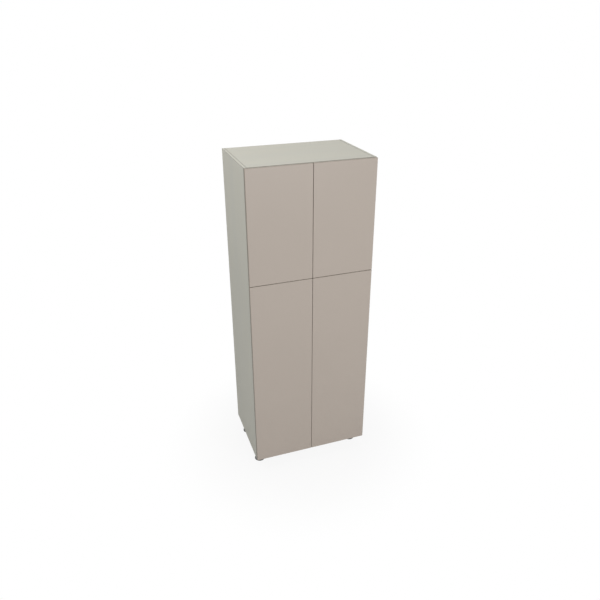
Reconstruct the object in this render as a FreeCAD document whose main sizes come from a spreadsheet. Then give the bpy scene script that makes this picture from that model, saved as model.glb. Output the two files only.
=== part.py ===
import FreeCAD, Part
import math
import os
import Sketcher
from FreeCAD import Placement, Rotation, Vector

# Tall kitchen cupboard on four adjustable legs: two short doors above two tall doors.
# +Z is up, +Y runs to the back, and the origin lies on the floor at the middle of the footprint.
# Every left-hand piece is drawn, and its right-hand partner is its mirror image or a turned copy.

DIMENSIONS = [
    # carcass
    ("unit_width", 900.0),
    ("carcass_depth", 600.0),
    ("carcass_height", 2292.0),
    ("leg_height", 105.0),
    ("board", 19.0),
    ("back_board", 8.0),
    ("back_inset", 22.0),
    ("groove_depth", 8.0),
    ("groove_play", 0.15),
    ("groove_end_gap", 0.5),
    # doors
    ("door_board", 19.0),
    ("lower_door_height", 1492.0),
    ("edge_reveal", 1.5),
    ("leaf_gap", 3.0),
    ("buffer_gap", 2.0),
    # loose shelves and their holes
    ("shelf_end_gap", 1.0),
    ("shelf_setback", 20.0),
    ("shelf_back_gap", 5.0),
    ("hole_pitch", 32.0),
    ("hole_diameter", 5.0),
    ("hole_depth", 12.0),
    ("hole_row_setback", 37.0),
    ("hole_row_spacing", 448.0),
    ("pin_diameter", 4.9),
    ("pin_in_board", 10.0),
    ("pin_bearing", 8.0),
    # concealed hinges
    ("hinge_end_distance", 100.0),
    ("cup_diameter", 35.0),
    ("cup_bore_depth", 13.0),
    ("cup_depth", 12.8),
    ("cup_wall", 0.8),
    ("cup_edge_distance", 22.5),
    ("cup_play", 0.15),
    ("flange_thickness", 1.0),
    ("flange_overlap", 1.8),
    ("wing_length", 58.0),
    ("wing_width", 12.0),
    ("wing_offset", 9.5),
    ("pivot_pin_radius", 1.0),
    ("pivot_play", 0.06),
    ("open_pivot_play", 0.85),
    ("eye_wall", 1.1),
    ("open_eye_wall", 0.7),
    ("link_half_width", 1.1),
    ("link_thickness", 3.0),
    ("link_layer_gap", 0.6),
    ("outer_arm_across", 34.89),
    ("outer_arm_back", 11.96),
    ("outer_knee_across", 19.5),
    ("outer_knee_back", -10.4),
    ("outer_cup_across", 10.99),
    ("outer_cup_back", -8.61),
    ("inner_arm_across", 31.54),
    ("inner_arm_back", -6.27),
    ("inner_knee_across", 25.8),
    ("inner_knee_back", -12.2),
    ("inner_eye_across", 13.6),
    ("inner_eye_back", -11.19),
    ("inner_cup_across", 14.03),
    ("inner_cup_back", -10.53),
    ("arm_wall", 1.2),
    ("arm_inner_width", 7.8),
    ("arm_rise", 12.0),
    ("arm_eye_radius", 2.6),
    ("arm_rear", 64.0),
    ("arm_toe", 2.0),
    ("arm_web_setback", 3.0),
    ("plate_thickness", 2.5),
    ("plate_length", 48.0),
    ("plate_width", 16.0),
    ("ridge_width", 6.8),
    ("ridge_height", 8.5),
    ("ridge_front", 27.0),
    ("ridge_rear", 62.0),
    # push latches
    ("latch_from_middle", 45.0),
    ("latch_setback", 1.0),
    ("latch_length", 84.0),
    ("latch_width", 16.0),
    ("latch_foot_width", 30.0),
    ("latch_foot_height", 3.0),
    ("latch_height", 15.0),
    ("plunger_diameter", 8.0),
    ("plunger_play", 0.3),
    ("plunger_drop", 8.5),
    ("plunger_length", 42.0),
    ("plunger_bore_depth", 50.0),
    ("plunger_door_gap", 0.3),
    ("strike_thickness", 0.9),
    ("strike_width", 30.0),
    ("strike_height", 14.0),
    ("strike_corner", 2.0),
    # legs
    ("leg_from_side", 57.0),
    ("front_leg_from_door", 144.0),
    ("rear_leg_from_back", 105.0),
    ("foot_diameter", 79.0),
    ("foot_height", 11.0),
    ("foot_chamfer", 5.0),
    ("stem_diameter", 30.0),
    ("stem_play", 0.3),
    ("stem_top_gap", 15.0),
    ("socket_flange_diameter", 76.0),
    ("socket_flange_height", 4.0),
    ("socket_tube_diameter", 39.0),
    ("socket_length", 42.0),
    ("ring_diameter", 54.0),
    ("ring_height", 10.0),
    ("ring_gap", 0.4),
    # wall brackets
    ("bracket_from_middle", 330.0),
    ("bracket_width", 40.0),
    ("bracket_leg", 46.0),
    ("bracket_thickness", 2.5),
    ("wall_hole_diameter", 9.0),
    ("wall_hole_drop", 28.0),
    ("back_hole_diameter", 14.0),
]

LOWER_SHELVES = 2
SHELF_HOLES_PER_ROW = 3

# Round forms that repeat often are drawn as regular outlines with these numbers of flats.
PIVOT_FLAT_COUNT = 6
PIN_FLAT_COUNT = 8
BORE_FLAT_COUNT = 12
CUP_FLAT_COUNT = 16
FOOT_FLAT_COUNT = 20

# Size of a sketch's geometry before its formulas pull it into place.
SKETCH_START = 10.0

doc = FreeCAD.newDocument("tall_cupboard")
sheet = doc.addObject("Spreadsheet::Sheet", "Dim")
for row, (name, size) in enumerate(DIMENSIONS, start=1):
    sheet.set(f"A{row}", name)
    sheet.set(f"B{row}", str(size))
    sheet.setAlias(f"B{row}", name)
doc.recompute()

# Places worked out from the driving dimensions, written as formulas of the sheet.
OVERALL_DEPTH = "(Dim.carcass_depth + Dim.buffer_gap + Dim.door_board)"
SIDE_X = "(Dim.unit_width / 2)"
INNER_WIDTH = "(Dim.unit_width - 2 * Dim.board)"
DOOR_FACE_Y = f"(-{OVERALL_DEPTH} / 2)"
FRONT_Y = f"({DOOR_FACE_Y} + Dim.door_board + Dim.buffer_gap)"
BACK_Y = f"({OVERALL_DEPTH} / 2)"
BOTTOM_Z = "Dim.leg_height"
TOP_Z = "(Dim.leg_height + Dim.carcass_height)"

DOOR_WIDTH = "((Dim.unit_width - 2 * Dim.edge_reveal - Dim.leaf_gap) / 2)"
LOWER_DOOR_Z = "(Dim.leg_height + Dim.edge_reveal)"
UPPER_DOOR_Z = f"({LOWER_DOOR_Z} + Dim.lower_door_height + Dim.leaf_gap)"
UPPER_DOOR_HEIGHT = f"({TOP_Z} - Dim.edge_reveal - {UPPER_DOOR_Z})"
MIDDLE_Z = f"({UPPER_DOOR_Z} - Dim.leaf_gap / 2 - Dim.board / 2)"

# The back groove, measured from a board's front edge.
GROOVE_FRONT = "(Dim.carcass_depth - Dim.back_inset - Dim.back_board - Dim.groove_play)"
GROOVE_REAR = "(Dim.carcass_depth - Dim.back_inset + Dim.groove_play)"
GROOVE_REACH = "(Dim.groove_depth - Dim.groove_end_gap)"

# Clear heights of the two compartments.
LOWER_FLOOR = f"({BOTTOM_Z} + Dim.board)"
LOWER_CLEAR = f"({MIDDLE_Z} - {LOWER_FLOOR})"
UPPER_FLOOR = f"({MIDDLE_Z} + Dim.board)"
UPPER_CLEAR = f"({TOP_Z} - Dim.board - {UPPER_FLOOR})"

SHELF_LEVELS = {"upper_shelf": f"({UPPER_FLOOR} + ({UPPER_CLEAR} - Dim.board) / 2)"}
for number in range(1, LOWER_SHELVES + 1):
    SHELF_LEVELS[f"lower_shelf_{number}"] = (
        f"({LOWER_FLOOR} + ({LOWER_CLEAR} - Dim.board * {LOWER_SHELVES}) * {number} / {LOWER_SHELVES + 1}"
        f" + Dim.board * {number - 1})"
    )

DOORS = {
    "lower_door": {"z": LOWER_DOOR_Z, "height": "Dim.lower_door_height", "hinges": 3},
    "upper_door": {"z": UPPER_DOOR_Z, "height": UPPER_DOOR_HEIGHT, "hinges": 2},
}

CUP_ACROSS = "(Dim.edge_reveal + Dim.cup_edge_distance)"
STRIKE_FACE = "(Dim.strike_thickness - Dim.buffer_gap)"

sub_parts = []


# ---- drawing helpers ----

def bind(thing, formulas):
    """Bind each property of an object to its formula."""
    for path, formula in formulas.items():
        thing.setExpression(path, str(formula))


def place(thing, x="0", y="0", z="0"):
    bind(thing, {"Placement.Base.x": x, "Placement.Base.y": y, "Placement.Base.z": z})


def keep(thing, label):
    """Give a finished sub-part its name and put it on the list of pieces to write."""
    thing.Label = label
    sub_parts.append(thing)
    return thing


def new_body(name):
    return doc.addObject("PartDesign::Body", name)


def sketch_on(body, name, role, offset="0"):
    """A sketch on one of the body's own origin planes, moved along the plane's normal."""
    plane = [feature for feature in body.Origin.OriginFeatures if feature.Role == role][0]
    sketch = body.newObject("Sketcher::SketchObject", name)
    sketch.AttachmentSupport = [(plane, "")]
    sketch.MapMode = "FlatFace"
    sketch.setExpression("AttachmentOffset.Base.z", offset)
    return sketch


def fix_point(sketch, geometry, point, x, y):
    """Hold one point of a sketch at two formulas."""
    for kind, formula in (("DistanceX", x), ("DistanceY", y)):
        index = sketch.addConstraint(Sketcher.Constraint(kind, -1, 1, geometry, point, 1.0))
        sketch.setExpression(f"Constraints[{index}]", formula)


def draw_outline(sketch, corners):
    """A closed outline of straight edges; it starts as a small ring that its corners pull into shape."""
    first = sketch.GeometryCount
    count = len(corners)
    angles = [2 * math.pi * i / count for i in range(count)]
    ring = [Vector(math.cos(angle), math.sin(angle), 0) * SKETCH_START for angle in angles]
    for i in range(count):
        sketch.addGeometry(Part.LineSegment(ring[i], ring[(i + 1) % count]))
    for i in range(count):
        following = first + (i + 1) % count
        sketch.addConstraint(Sketcher.Constraint("Coincident", first + i, 2, following, 1))
    for i, (x, y) in enumerate(corners):
        fix_point(sketch, first + i, 1, x, y)


def regular(x, y, radius, flats, around=False):
    """Corners of a regular outline that lies inside the circle of the radius, or around it."""
    reach = 1 / math.cos(math.pi / flats) if around else 1.0
    corners = []
    for i in range(flats):
        angle = 2 * math.pi * i / flats
        corners.append((f"{x} + {radius} * {reach * math.cos(angle):.6f}",
                        f"{y} + {radius} * {reach * math.sin(angle):.6f}"))
    return corners


def draw_circle(sketch, x, y, diameter):
    index = sketch.addGeometry(Part.Circle(Vector(1, 1, 0), Vector(0, 0, 1), 1.0))
    fix_point(sketch, index, 3, x, y)
    size = sketch.addConstraint(Sketcher.Constraint("Diameter", index, 2.0))
    sketch.setExpression(f"Constraints[{size}]", diameter)


def rectangle(x0, y0, x1, y1):
    return [(x0, y0), (x1, y0), (x1, y1), (x0, y1)]


def pad(body, sketch, name, length):
    feature = body.newObject("PartDesign::Pad", name)
    feature.Profile = sketch
    feature.setExpression("Length", length)
    return feature


def pocket(body, sketch, name, depth, turned=False):
    feature = body.newObject("PartDesign::Pocket", name)
    feature.Profile = sketch
    feature.Reversed = turned
    feature.setExpression("Length", depth)
    return feature


def repeat(body, feature, sketch, name, axis, length, count):
    """Copies of a feature in a row along one axis of its sketch."""
    row = body.newObject("PartDesign::LinearPattern", name)
    row.Originals = [feature]
    row.Direction = (sketch, [axis])
    row.setExpression("Length", length)
    row.Occurrences = count
    body.Tip = row
    return row


def box(name, x, y, z, length, width, height):
    solid = doc.addObject("Part::Box", name)
    bind(solid, {"Length": length, "Width": width, "Height": height})
    place(solid, x, y, z)
    return solid


def cylinder(name, radius, height, x="0", y="0", z="0"):
    """An upright cylinder that stands on its centre point."""
    solid = doc.addObject("Part::Cylinder", name)
    bind(solid, {"Radius": radius, "Height": height})
    place(solid, x, y, z)
    return solid


def prism(name, flats, radius, height, x="0", y="0", z="0", turn=None, around=False):
    """A regular bar inside the circle of the radius, or around it; turn tips it off the upright."""
    solid = doc.addObject("Part::Prism", name)
    solid.Polygon = flats
    if turn:
        solid.Placement = Placement(Vector(), turn)
    reach = 1 / math.cos(math.pi / flats) if around else 1.0
    bind(solid, {"Circumradius": f"({radius}) * {reach:.6f}", "Height": height})
    place(solid, x, y, z)
    return solid


def fuse(name, shapes):
    solid = doc.addObject("Part::MultiFuse", name)
    solid.Shapes = shapes
    solid.Refine = True
    return solid


def cut(name, base, tool):
    solid = doc.addObject("Part::Cut", name)
    solid.Base = base
    solid.Tool = tool
    return solid


def mirrored(label, source):
    """The right-hand partner of a left-hand piece."""
    partner = doc.addObject("Part::Mirroring", f"{label}_mirror")
    partner.Source = source
    partner.Normal = Vector(1, 0, 0)
    partner.Base = Vector(0, 0, 0)
    return keep(partner, label)


def group(label, copies):
    """Equal pieces in one sub-part: each copy is a master, a place and a turn about the upright plane."""
    links = []
    for number, (master, turn, x, y, z) in enumerate(copies, start=1):
        link = doc.addObject("App::Link", f"{label}_copy_{number}")
        link.LinkedObject = master
        link.Placement = Placement(Vector(), turn)
        place(link, x, y, z)
        links.append(link)
    compound = doc.addObject("Part::Compound", f"{label}_group")
    compound.Links = links
    return keep(compound, label)


STRAIGHT = Rotation()
TURNED_OVER = Rotation(Vector(0, 1, 0), 180)
ALONG_Y = Rotation(Vector(1, 0, 0), -90)
ALONG_X = Rotation(Vector(0, 1, 0), 90)
SIDES = {"left": (-1, STRAIGHT), "right": (1, TURNED_OVER)}


# ---- boards of the carcass ----

def make_side_panels():
    """Full-height side with the back groove and three rows of shelf holes front and rear."""
    body = new_body("side_left")
    plan = sketch_on(body, "side_plan", "XY_Plane")
    groove_floor = "(Dim.board - Dim.groove_depth)"
    draw_outline(plan, [
        ("0", "0"), ("Dim.board", "0"), ("Dim.board", GROOVE_FRONT), (groove_floor, GROOVE_FRONT),
        (groove_floor, GROOVE_REAR), ("Dim.board", GROOVE_REAR), ("Dim.board", "Dim.carcass_depth"),
        ("0", "Dim.carcass_depth"),
    ])
    pad(body, plan, "side_board", "Dim.carcass_height")
    for shelf, level in SHELF_LEVELS.items():
        holes = sketch_on(body, f"{shelf}_holes", "YZ_Plane", "Dim.board")
        reach = f"(Dim.hole_pitch * {(SHELF_HOLES_PER_ROW - 1) / 2})"
        lowest = f"({level} - Dim.pin_diameter / 2 - {reach} - {BOTTOM_Z})"
        for row in ("Dim.hole_row_setback", "(Dim.hole_row_setback + Dim.hole_row_spacing)"):
            draw_outline(holes, regular(row, lowest, "Dim.hole_diameter / 2", PIN_FLAT_COUNT, around=True))
        drilled = pocket(body, holes, f"{shelf}_drilling", "Dim.hole_depth")
        repeat(body, drilled, holes, f"{shelf}_rows", "V_Axis",
               f"Dim.hole_pitch * {SHELF_HOLES_PER_ROW - 1}", SHELF_HOLES_PER_ROW)
    place(body, f"-{SIDE_X}", FRONT_Y, BOTTOM_Z)
    keep(body, "side_panel_left")
    mirrored("side_panel_right", body)


def make_cross_board(label, z, groove_above, groove_below):
    """A board between the sides, its section drawn with the grooves for the backs."""
    body = new_body(f"{label}_body")
    section = sketch_on(body, f"{label}_section", "YZ_Plane")
    corners = [("0", "0")]
    if groove_below:
        corners += [(GROOVE_FRONT, "0"), (GROOVE_FRONT, "Dim.groove_depth"),
                    (GROOVE_REAR, "Dim.groove_depth"), (GROOVE_REAR, "0")]
    corners += [("Dim.carcass_depth", "0"), ("Dim.carcass_depth", "Dim.board")]
    if groove_above:
        floor = "(Dim.board - Dim.groove_depth)"
        corners += [(GROOVE_REAR, "Dim.board"), (GROOVE_REAR, floor),
                    (GROOVE_FRONT, floor), (GROOVE_FRONT, "Dim.board")]
    corners.append(("0", "Dim.board"))
    draw_outline(section, corners)
    pad(body, section, f"{label}_board", INNER_WIDTH)
    place(body, f"-{INNER_WIDTH} / 2", FRONT_Y, z)
    keep(body, label)


def make_backs():
    """Thin backs that stand in the grooves; the upper one has holes for the wall screws."""
    reach = f"({INNER_WIDTH} + 2 * {GROOVE_REACH})"
    front = f"({BACK_Y} - Dim.back_inset - Dim.back_board)"
    for label, floor, clear, drilled in (
            ("back_panel_lower", LOWER_FLOOR, LOWER_CLEAR, False),
            ("back_panel_upper", UPPER_FLOOR, UPPER_CLEAR, True)):
        body = new_body(f"{label}_body")
        plan = sketch_on(body, f"{label}_plan", "XY_Plane")
        draw_outline(plan, rectangle(f"-{reach} / 2", "0", f"{reach} / 2", "Dim.back_board"))
        pad(body, plan, f"{label}_sheet", f"{clear} + 2 * {GROOVE_REACH}")
        bottom = f"({floor} - {GROOVE_REACH})"
        if drilled:
            holes = sketch_on(body, "wall_screw_holes", "XZ_Plane")
            level = f"({TOP_Z} - Dim.board - Dim.wall_hole_drop - {bottom})"
            for side in ("-", ""):
                draw_outline(holes, regular(f"{side}Dim.bracket_from_middle", level,
                                            "Dim.back_hole_diameter / 2", BORE_FLAT_COUNT))
            pocket(body, holes, "wall_screw_drilling", "Dim.back_board")
        place(body, "0", front, bottom)
        keep(body, label)


def make_shelves():
    """Loose shelves and the steel pins under their ends."""
    depth = ("(Dim.carcass_depth - Dim.back_inset - Dim.back_board - Dim.shelf_setback"
             " - Dim.shelf_back_gap)")
    width = f"({INNER_WIDTH} - 2 * Dim.shelf_end_gap)"
    pin = prism("shelf_pin", PIN_FLAT_COUNT, "Dim.pin_diameter / 2", "Dim.pin_in_board + Dim.pin_bearing",
                turn=ALONG_X)
    pins = []
    for label, level in SHELF_LEVELS.items():
        shelf = box(f"{label}_board", f"-{width} / 2", f"{FRONT_Y} + Dim.shelf_setback", level,
                    width, depth, "Dim.board")
        keep(shelf, label)
        for x in (f"-{INNER_WIDTH} / 2 - Dim.pin_in_board", f"{INNER_WIDTH} / 2 - Dim.pin_bearing"):
            for row in ("Dim.hole_row_setback", "Dim.hole_row_setback + Dim.hole_row_spacing"):
                pins.append((pin, ALONG_X, x, f"{FRONT_Y} + {row}", f"{level} - Dim.pin_diameter / 2"))
    group("shelf_pins", pins)


# ---- doors ----

def make_doors():
    """Flat doors with the blind bores of the hinge cups in a row near the hinge edge."""
    for name, door in DOORS.items():
        body = new_body(f"{name}_body")
        plan = sketch_on(body, f"{name}_plan", "XY_Plane")
        draw_outline(plan, rectangle("0", "0", DOOR_WIDTH, "Dim.door_board"))
        pad(body, plan, f"{name}_board", door["height"])
        bores = sketch_on(body, f"{name}_bores", "XZ_Plane", "-Dim.door_board")
        draw_outline(bores, regular("Dim.cup_edge_distance", "Dim.hinge_end_distance",
                                    "Dim.cup_diameter / 2", BORE_FLAT_COUNT, around=True))
        bored = pocket(body, bores, f"{name}_cup_bore", "Dim.cup_bore_depth", turned=True)
        repeat(body, bored, bores, f"{name}_cup_bores", "V_Axis",
               f"{door['height']} - 2 * Dim.hinge_end_distance", door["hinges"])
        place(body, f"-{SIDE_X} + Dim.edge_reveal", DOOR_FACE_Y, door["z"])
        keep(body, f"{name}_left")
        mirrored(f"{name}_right", body)


# ---- concealed hinges ----
# Each hinge is drawn with the door shut: across runs from the side panel's outer face into the
# cupboard, back runs from the side panel's front edge, and the hinge's middle is at height 0.

def pivot_pin(name, across, back, low, high):
    return prism(name, PIVOT_FLAT_COUNT, "Dim.pivot_pin_radius", f"{high} - ({low})", across, back, low)


def make_link(name, cup_end, low, cup_play, cup_wall):
    """A cranked flat link: a bent band with an eye at each end."""
    stops = {
        "cup": (f"Dim.{name}_{cup_end}_across", f"Dim.{name}_{cup_end}_back", cup_play, cup_wall),
        "arm": (f"Dim.{name}_arm_across", f"Dim.{name}_arm_back", "Dim.pivot_play", "Dim.eye_wall"),
    }
    path = doc.addObject("Sketcher::SketchObject", f"{name}_path")
    knee = Vector(SKETCH_START, 0, 0)
    path.addGeometry(Part.LineSegment(Vector(0, 0, 0), knee))
    path.addGeometry(Part.LineSegment(knee, Vector(SKETCH_START, SKETCH_START, 0)))
    path.addConstraint(Sketcher.Constraint("Coincident", 0, 2, 1, 1))
    fix_point(path, 0, 1, *stops["cup"][:2])
    fix_point(path, 0, 2, f"Dim.{name}_knee_across", f"Dim.{name}_knee_back")
    fix_point(path, 1, 2, *stops["arm"][:2])
    band = doc.addObject("Part::Offset2D", f"{name}_band")
    band.Source = path
    band.Mode = "Pipe"
    band.Join = "Intersection"
    band.Fill = True
    band.setExpression("Value", "Dim.link_half_width")
    strip = doc.addObject("Part::Extrusion", f"{name}_strip")
    strip.Base = band
    strip.DirMode = "Custom"
    strip.Dir = Vector(0, 0, 1)
    strip.Solid = True
    strip.setExpression("LengthFwd", "Dim.link_thickness")
    place(strip, z=low)
    eyes = []
    holes = []
    for end, (across, back, play, wall) in stops.items():
        hole = f"(Dim.pivot_pin_radius + {play})"
        if end == "cup" and cup_end == "eye":
            eyes.append(prism(f"{name}_{end}_eye", BORE_FLAT_COUNT, f"{hole} + {wall}", "Dim.link_thickness",
                              across, back, low))
        else:
            eyes.append(cylinder(f"{name}_{end}_eye", f"{hole} + {wall}", "Dim.link_thickness",
                                 across, back, low))
        holes.append(prism(f"{name}_{end}_hole", PIVOT_FLAT_COUNT, hole, "Dim.link_thickness",
                           across, back, low, around=True))
    return cut(f"{name}_link", fuse(f"{name}_blank", [strip] + eyes), fuse(f"{name}_holes", holes))


def make_cup():
    """The pressed cup in the door's bore, its flange with two wings, and the two cup pivots."""
    outer = "(Dim.cup_diameter / 2 - Dim.cup_play)"
    mouth = "(Dim.flange_thickness - Dim.buffer_gap)"
    floor = "(-Dim.buffer_gap - Dim.cup_depth)"
    shell = prism("cup_shell", CUP_FLAT_COUNT, outer, f"{mouth} - {floor}", CUP_ACROSS, floor, turn=ALONG_Y)
    disc = prism("cup_flange", BORE_FLAT_COUNT, f"{outer} + Dim.flange_overlap", "Dim.flange_thickness",
                 CUP_ACROSS, "-Dim.buffer_gap", turn=ALONG_Y)
    wings = box("cup_wings", f"{CUP_ACROSS} + Dim.wing_offset - Dim.wing_width / 2", "-Dim.buffer_gap",
                "-Dim.wing_length / 2", "Dim.wing_width", "Dim.flange_thickness", "Dim.wing_length")
    hollow = prism("cup_hollow", CUP_FLAT_COUNT, f"{outer} - Dim.cup_wall", f"{mouth} - {floor}", CUP_ACROSS,
                   f"{floor} + Dim.cup_wall", turn=ALONG_Y, around=True)
    cup = cut("cup_pressing", fuse("cup_blank", [shell, disc, wings]), hollow)
    pins = []
    in_wall = f"({outer} * {math.cos(math.pi / CUP_FLAT_COUNT):.6f} - Dim.cup_wall / 10)"
    for name, upper in (("outer", True), ("inner", False)):
        across = f"Dim.{name}_cup_across"
        half = f"sqrt({in_wall} ^ 2 - ({CUP_ACROSS} - {across} + Dim.pivot_pin_radius) ^ 2)"
        ends = ("Dim.link_layer_gap / 2", half) if upper else (f"-{half}", "-Dim.link_layer_gap / 2")
        pins.append(pivot_pin(f"{name}_cup_pin", across, f"Dim.{name}_cup_back", *ends))
    return fuse("hinge_cup", [cup] + pins)


def make_arm():
    """The channel-shaped arm: two cheeks that hold the arm pivots, joined by a web at the rear."""
    half = "(Dim.arm_inner_width / 2 + Dim.arm_wall)"
    roof = "(Dim.board + Dim.plate_thickness + Dim.arm_rise)"
    body = new_body("arm_channel")
    outline = sketch_on(body, "arm_outline", "XY_Plane", f"-{half}")
    foot = "(Dim.board + Dim.plate_thickness)"
    outer = ("Dim.outer_arm_across", "Dim.outer_arm_back")
    inner = ("Dim.inner_arm_across", "Dim.inner_arm_back")
    eye = "Dim.arm_eye_radius"
    draw_outline(outline, [
        (f"{inner[0]} - {eye} * 0.7", f"{inner[1]} - {eye} * 0.7"),
        (f"{inner[0]} + {eye} * 0.6", f"{inner[1]} - {eye} * 0.8"),
        (f"{outer[0]} + {eye} * 0.8", f"{outer[1]} - {eye} * 0.6"),
        (f"{outer[0]} + {eye}", f"{outer[1]} + {eye} * 0.4"),
        (roof, f"{outer[1]} + {eye} * 2.5"),
        (roof, "Dim.arm_rear"),
        (foot, "Dim.arm_rear"),
        (foot, "Dim.ridge_front + Dim.arm_toe"),
        (f"{inner[0]} - {eye}", f"{inner[1]} + {eye} * 0.5"),
    ])
    pad(body, outline, "arm_block", f"2 * {half}")
    hollow = sketch_on(body, "arm_hollow", "XY_Plane", "Dim.arm_inner_width / 2")
    web = f"({roof} - Dim.arm_wall)"
    web_front = f"({outer[1]} + {eye} * 2.5 + Dim.arm_web_setback)"
    before = "(-Dim.arm_rear)"
    behind = "(2 * Dim.arm_rear)"
    beyond = f"(2 * {roof})"
    draw_outline(hollow, [
        ("0", before), (beyond, before), (beyond, web_front), (web, web_front), (web, behind), ("0", behind),
    ])
    pocket(body, hollow, "arm_opening", "Dim.arm_inner_width")
    pins = [pivot_pin("outer_arm_pin", *outer, f"-{half}", half),
            pivot_pin("inner_arm_pin", *inner, f"-{half}", "-Dim.link_layer_gap / 2")]
    return fuse("hinge_arm", [body] + pins)


def make_mounting_plate():
    """The plate on the side panel: wings for two screws and the ridge that the arm sits over."""
    plate = box("plate_wings", "Dim.board", "Dim.hole_row_setback - Dim.plate_width / 2",
                "-Dim.plate_length / 2", "Dim.plate_thickness", "Dim.plate_width", "Dim.plate_length")
    ridge = box("plate_ridge", "Dim.board", "Dim.ridge_front", "-Dim.ridge_width / 2",
                "Dim.ridge_height", "Dim.ridge_rear - Dim.ridge_front", "Dim.ridge_width")
    return fuse("mounting_plate", [plate, ridge])


def make_hinges():
    """Hinge pieces beside every cup bore: fixed ones for all doors together, moving ones door by door."""
    outer_layer = "Dim.link_layer_gap / 2"
    inner_layer = "-Dim.link_layer_gap / 2 - Dim.link_thickness"
    masters = {
        "outer_links": make_link("outer", "cup", outer_layer, "Dim.pivot_play", "Dim.eye_wall"),
        "inner_links": make_link("inner", "eye", inner_layer, "Dim.open_pivot_play", "Dim.open_eye_wall"),
        "hinge_cups": make_cup(),
    }
    arm = make_arm()
    plate = make_mounting_plate()
    arms = []
    plates = []
    for door_name, door in DOORS.items():
        spacing = f"(({door['height']} - 2 * Dim.hinge_end_distance) / {door['hinges'] - 1})"
        levels = [f"{door['z']} + Dim.hinge_end_distance + {spacing} * {i}" for i in range(door["hinges"])]
        for side, (sign, turn) in SIDES.items():
            places = [(turn, f"{sign} * {SIDE_X}", FRONT_Y, level) for level in levels]
            for kind, master in masters.items():
                group(f"{kind}_{door_name}_{side}", [(master, *spot) for spot in places])
            arms += [(arm, *spot) for spot in places]
            plates += [(plate, *spot) for spot in places]
    group("hinge_arms", arms)
    group("mounting_plates", plates)


# ---- push latches ----

def make_latches():
    """Push latches under the top and the middle shelf, each with its plunger and strike plate."""
    body = new_body("latch_body")
    section = sketch_on(body, "latch_section", "XZ_Plane", "-Dim.latch_setback")
    half = "(Dim.latch_width / 2)"
    foot = "(Dim.latch_foot_width / 2)"
    chamfer = "(Dim.latch_width / 5)"
    draw_outline(section, [
        (f"-{foot}", "0"), (f"-{foot}", "-Dim.latch_foot_height"), (f"-{half}", "-Dim.latch_foot_height"),
        (f"-{half}", f"{chamfer} - Dim.latch_height"), (f"{chamfer} - {half}", "-Dim.latch_height"),
        (f"{half} - {chamfer}", "-Dim.latch_height"), (half, f"{chamfer} - Dim.latch_height"),
        (half, "-Dim.latch_foot_height"), (foot, "-Dim.latch_foot_height"), (foot, "0"),
    ])
    block = pad(body, section, "latch_block", "Dim.latch_length")
    block.Reversed = True
    mouth = sketch_on(body, "plunger_mouth", "XZ_Plane", "-Dim.latch_setback")
    draw_outline(mouth, regular("0", "-Dim.plunger_drop", "(Dim.plunger_diameter / 2 + Dim.plunger_play)",
                                BORE_FLAT_COUNT, around=True))
    pocket(body, mouth, "plunger_bore", "Dim.plunger_bore_depth")

    tip = f"({STRIKE_FACE} + Dim.plunger_door_gap)"
    rod = prism("plunger_rod", BORE_FLAT_COUNT, "Dim.plunger_diameter / 2", "Dim.plunger_length", "0", tip,
                "-Dim.plunger_drop", turn=ALONG_Y)

    strike = new_body("strike_body")
    plate = sketch_on(strike, "strike_outline", "XZ_Plane", "Dim.buffer_gap")
    wide = "(Dim.strike_width / 2)"
    low = "(-Dim.plunger_drop - Dim.strike_height / 2)"
    high = "(Dim.strike_height / 2 - Dim.plunger_drop)"
    corner = "Dim.strike_corner"
    draw_outline(plate, [
        (f"{corner} - {wide}", low), (f"{wide} - {corner}", low), (wide, f"{low} + {corner}"),
        (wide, f"{high} - {corner}"), (f"{wide} - {corner}", high), (f"{corner} - {wide}", high),
        (f"-{wide}", f"{high} - {corner}"), (f"-{wide}", f"{low} + {corner}"),
    ])
    sheet_metal = pad(strike, plate, "strike_sheet", "Dim.strike_thickness")
    sheet_metal.Reversed = True

    housings = []
    for door_name, ceiling in (("lower_door", MIDDLE_Z), ("upper_door", f"({TOP_Z} - Dim.board)")):
        for side, (sign, _) in SIDES.items():
            spot = (STRAIGHT, f"{sign} * Dim.latch_from_middle", FRONT_Y, ceiling)
            housings.append((body, *spot))
            group(f"plunger_{door_name}_{side}", [(rod, ALONG_Y, spot[1], f"{FRONT_Y} + {tip}",
                                                   f"{ceiling} - Dim.plunger_drop")])
            group(f"strike_plate_{door_name}_{side}", [(strike, *spot)])
    group("latch_housings", housings)


# ---- legs ----

def make_leg_socket(bore):
    """The part under the base: a flange, and a tube that the stem runs up."""
    end = "(Dim.leg_height - Dim.socket_length)"
    flange = prism("socket_flange", BORE_FLAT_COUNT, "Dim.socket_flange_diameter / 2",
                   "Dim.socket_flange_height", z="Dim.leg_height - Dim.socket_flange_height")
    tube = cylinder("socket_tube", "Dim.socket_tube_diameter / 2", "Dim.socket_length", z=end)
    hollow = prism("socket_bore", BORE_FLAT_COUNT, bore, "Dim.socket_length", z=end, around=True)
    return cut("leg_socket", fuse("socket_blank", [flange, tube]), hollow)


def make_foot():
    """The foot: a round base with a chamfered crown, and the threaded stem."""
    body = new_body("foot_body")
    outline = sketch_on(body, "foot_outline", "XY_Plane")
    draw_outline(outline, regular("0", "0", "Dim.foot_diameter / 2", FOOT_FLAT_COUNT))
    base = pad(body, outline, "foot_base", "Dim.foot_height")
    doc.recompute()
    heights = [face.CenterOfMass.z for face in base.Shape.Faces]
    crown = body.newObject("PartDesign::Chamfer", "foot_crown")
    crown.Base = (base, [f"Face{heights.index(max(heights)) + 1}"])
    crown.setExpression("Size", "Dim.foot_chamfer")
    stem = prism("foot_stem", BORE_FLAT_COUNT, "Dim.stem_diameter / 2", "Dim.leg_height - Dim.stem_top_gap")
    return fuse("foot", [body, stem])


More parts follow.
